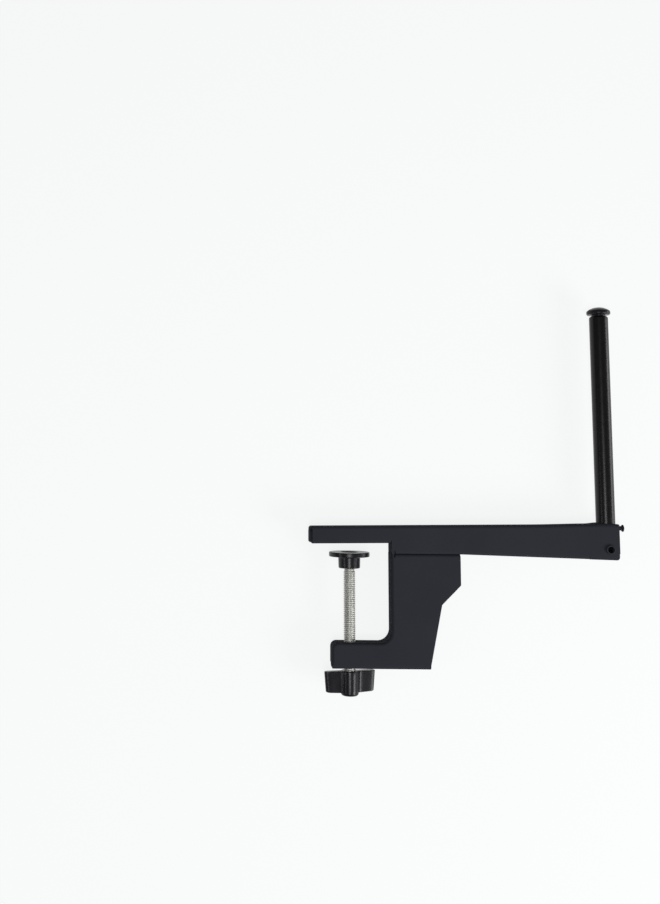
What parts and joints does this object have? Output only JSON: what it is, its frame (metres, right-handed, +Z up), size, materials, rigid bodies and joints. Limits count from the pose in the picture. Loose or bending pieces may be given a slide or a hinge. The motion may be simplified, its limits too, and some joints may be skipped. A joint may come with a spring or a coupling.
{
  "type": "table tennis net clamp",
  "caption": "Steel C-clamp with a long arm and upright post, which a screw with a swivel pad and wing knob fixes to a table's edge to hold a net.",
  "frame": {"origin": "on the screw's axis, at the upper jaw's gripping face", "axes": "+Z up along the screw and the post, +X from the jaws out to the post, +Y across the arm"},
  "size_m": [0.2156, 0.0276, 0.2653],
  "materials": {
    "black_steel": "satin black powder coat on folded steel sheet",
    "black_tube": "semi-gloss black enamel on steel tube",
    "black_plastic": "moulded black plastic, slightly glossy",
    "zinc_steel": "bright zinc plating"
  },
  "bodies": {
    "clamp": {"arm_channel": "black_steel", "jaw_plate": "black_steel", "bracket_front": "black_steel", "bracket_rear": "black_steel", "weld_nut": "zinc_steel", "post_tube": "black_tube", "post_rivet": "black_steel", "cord_stud": "black_steel", "post_cap": "black_plastic"},
    "pad": {"swivel_pad": "black_plastic"},
    "screw": {"clamp_screw": "zinc_steel", "pad_washer": "zinc_steel", "wing_knob": "black_plastic"}
  },
  "joints": [
    {"name": "pad_travel", "type": "slide", "parent": "clamp", "child": "pad", "axis": [0, 0, 1], "range_m": [-0.0484, 0.0018]},
    {"name": "screw_spin", "type": "hinge", "parent": "pad", "child": "screw", "pos_m": [0, 0, 0], "axis": [0, 0, 1], "range_deg": [-13940, 519]}
  ],
  "couplings": [
    {"joint": "screw_spin", "follows": "pad_travel", "rad_per_m": 5026.5}
  ]
}
